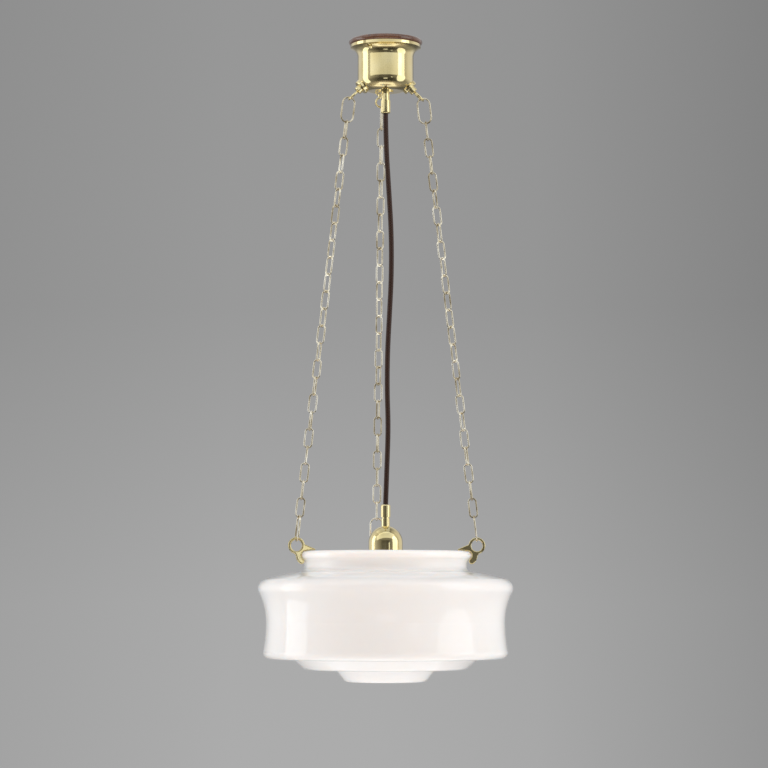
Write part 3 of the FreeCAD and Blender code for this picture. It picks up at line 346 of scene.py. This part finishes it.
def make_springs():
    """Two coils in the place of the solid sleeves; on the real holder they shorten as the contacts are
    pressed in.
    """
    low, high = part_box("plunger_springs")
    height = high[2] - low[2]
    steps = SPRING_TURNS * SPRING_STEPS
    rise = (height - 2 * SPRING_WIRE) / steps
    coil = SPRING_RADIUS - SPRING_WIRE
    for mark, side in (("left", -1), ("right", 1)):
        middle = side * (high[0] - SPRING_RADIUS)
        points = []
        for step in range(steps + 1):
            turn = 2 * math.pi * step / SPRING_STEPS
            points.append((middle + coil * math.cos(turn), coil * math.sin(turn),
                           low[2] + SPRING_WIRE + rise * step))
        wire = bent_round("spring_wire_" + mark, points, SPRING_WIRE, SPRING_SMOOTHNESS, "steel")
        formed = bpy.data.meshes.new_from_object(wire)
        bpy.data.objects.remove(wire)
        spring = bpy.data.objects.new("plunger_spring_" + mark, formed)
        scene.collection.objects.link(spring)
        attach(spring, "lamp_drop")
        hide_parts("plunger_springs")
        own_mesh(spring)


def make_hooks():
    """The flat hooks with the soft edges of a polished casting."""
    for mark in ("rear", "left", "right"):
        hook = bpy.data.objects.new("cast_hook_" + mark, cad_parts["hook_" + mark].data.copy())
        scene.collection.objects.link(hook)
        skin = hook.modifiers.new("skin", "REMESH")
        skin.mode = "VOXEL"
        skin.voxel_size = HOOK_SKIN
        rounding = hook.modifiers.new("rounding", "SMOOTH")
        rounding.factor = HOOK_EASING
        rounding.iterations = HOOK_ROUNDS
        fill = hook.modifiers.new("fill", "DISPLACE")
        fill.strength = HOOK_FILL
        fill.mid_level = 0.0
        ready = hook.evaluated_get(bpy.context.evaluated_depsgraph_get())
        cast = bpy.data.meshes.new_from_object(ready)
        hook.modifiers.clear()
        hook.data = cast
        cast.materials.clear()
        cast.materials.append(FINISHES["brass"])
        cast.polygons.foreach_set("use_smooth", [True] * len(cast.polygons))
        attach(hook, "shade")
        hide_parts("hook_" + mark)


def make_floor():
    bpy.ops.mesh.primitive_circle_add(vertices=FLOOR_SIDES, radius=FLOOR_RADIUS, fill_type="NGON",
                                      location=(0, 0, FLOOR_HEIGHT))
    floor = bpy.context.object
    floor.name = "floor"
    look = finish_graph("floor_finish")
    fall = look.nodes.new("ShaderNodeTexGradient")
    fall.gradient_type = "SPHERICAL"
    look.links.new(look.stretched(1 / FLOOR_RADIUS, 1 / FLOOR_RADIUS, 1.0), fall.inputs["Vector"])
    look.feed("Alpha", look.between(fall.outputs["Fac"], low=0.0, high=1.0, start=0.0, end=FLOOR_FADE))
    look.set(Base_Color=FLOOR_COLOUR, Roughness=FLOOR_ROUGHNESS)
    floor.data.materials.append(look.owner)


def make_world():
    """A room that shows as a grey backdrop, also in metal and glass, and that lights matt surfaces."""
    scene.world = bpy.data.worlds.new("studio")
    room = Graph(scene.world, "Background", "Generated")
    height = room.along((0, 0, 1))
    depth = room.along((0, 1, 0))
    side = room.along(VIEW_RIGHT)

    # Backdrop: lighter low down, a little darker to the right, with pale walls and a pale ceiling
    rise = room.greys(height, -0.06, 0.20, (0.0, 0.413), (0.22, 0.402), (0.62, 0.320), (1.0, 0.309))
    middle = room.greys(side, -0.134, 0.134, (0.0, 0.89), (0.30, 1.0), (0.50, 1.0), (0.70, 0.95),
                        (1.0, 0.735))
    walls = room.greys(side, -1.0, 1.0, (0.15, 0.80), (0.40, 0.0), (0.60, 0.0), (0.85, 0.80))
    ceiling = room.greys(height, 0.0, 1.0, (0.20, 0.0), (0.34, 0.68), (0.62, 0.66), (0.88, 0.20))
    backdrop = room.mixed(rise, middle, blend="MULTIPLY")
    backdrop = room.mixed(backdrop, walls, blend="LIGHTEN")
    backdrop = room.mixed(backdrop, ceiling, blend="LIGHTEN")

    # The room behind the camera is dark, and so is what lies below it
    behind = room.greys(depth, -1.0, 1.0, (0.20, 0.36), (0.60, 1.0))
    below = room.greys(height, -0.40, -0.06, (0.0, 0.40), (1.0, 1.0))
    backdrop = room.mixed(backdrop, behind, blend="MULTIPLY")
    backdrop = room.mixed(backdrop, below, blend="MULTIPLY")

    # Light of the room on matt surfaces: warm from the front and from the floor, weaker from above
    frontal = room.between(depth, 0.0, 1.0, start=-1.0, end=1.0)
    around = room.ramp(frontal, (0.25, ROOM_FRONT), (0.60, ROOM_REAR))
    downward = room.between(height, 0.0, 1.0, start=0.0, end=-1.0)
    floor = room.ramp(downward, (0.20, grey(0.0)), (0.60, ROOM_BELOW))
    above = room.greys(height, 0.0, 1.0, (0.10, 1.0), (0.60, 0.50))
    light = room.mixed(around, floor, blend="LIGHTEN")
    light = room.mixed(light, above, blend="MULTIPLY")

    path = room.nodes.new("ShaderNodeLightPath").outputs
    seen = room.combined("ADD", path["Is Camera Ray"], path["Is Glossy Ray"])
    seen = room.combined("ADD", seen, path["Is Transmission Ray"])
    room.feed("Color", room.mixed(light, backdrop, seen))


def make_lamp(name, place, aim, width, height, brightness, shape="RECTANGLE"):
    """A softbox whose face is as bright as a surface of that linear grey."""
    lamp = bpy.data.lights.new(name, "AREA")
    lamp.shape = shape
    lamp.color = LAMP_COLOUR
    lamp.size = width
    lamp.size_y = height
    area = width * height
    if shape == "ELLIPSE":
        area *= math.pi / 4
    lamp.energy = brightness * math.pi * area
    holder = bpy.data.objects.new(name, lamp)
    holder.location = place
    holder.rotation_euler = (Vector(aim) - Vector(place)).to_track_quat("-Z", "Y").to_euler()
    holder.visible_camera = False
    scene.collection.objects.link(holder)


def make_lights():
    # The two softboxes whose broad reflections the bowl shows
    make_lamp("left_softbox", (-1.735, 0.228, -0.565), (0, 0, -0.565),
              width=0.85, height=2.01, brightness=1.43)
    make_lamp("right_softbox", (1.457, -0.775, -0.375), (0, 0, -0.375),
              width=1.2, height=1.97, brightness=1.31, shape="ELLIPSE")

    # Broad, weaker light from the front, from above and from the floor
    make_lamp("front_panel", (-0.5, -0.90, 0.83), (-0.5, 0.44, 0.03),
              width=5.6, height=1.56, brightness=0.75)
    make_lamp("top_panel", (-0.45, 0.35, 1.2), (-0.45, 0.35, 0),
              width=2.2, height=2.0, brightness=0.44)
    make_lamp("floor_panel", (0, 0, -2.35), (0, 0, 0),
              width=2.0, height=2.0, brightness=0.80)

    # Small glints: in the dark bands of the brass cup, and on the face of the left hook
    make_lamp("low_strip", (-0.30, -2.85, -1.35), (0, 0, -0.5),
              width=0.9, height=0.5, brightness=0.9)
    make_lamp("hook_panel", (0.91, -2.61, -0.62), (-0.14, -0.02, -0.67),
              width=0.40, height=0.30, brightness=1.0, shape="ELLIPSE")


def make_camera():
    lens = bpy.data.cameras.new("camera")
    lens.lens = CAMERA_LENS
    lens.sensor_width = CAMERA_SENSOR
    lens.clip_end = CAMERA_REACH
    camera = bpy.data.objects.new("camera", lens)
    middle = VIEW_RIGHT * AIM_SIDE
    aim = middle + Vector((0, 0, AIM_HEIGHT))
    camera.location = middle + VIEW_BACK * CAMERA_DISTANCE + Vector((0, 0, CAMERA_HEIGHT))
    camera.rotation_euler = (aim - camera.location).to_track_quat("-Z", "Y").to_euler()
    scene.collection.objects.link(camera)
    scene.camera = camera


dress_parts()
make_flex()
make_springs()
make_hooks()
make_floor()
make_world()
make_lights()
make_camera()
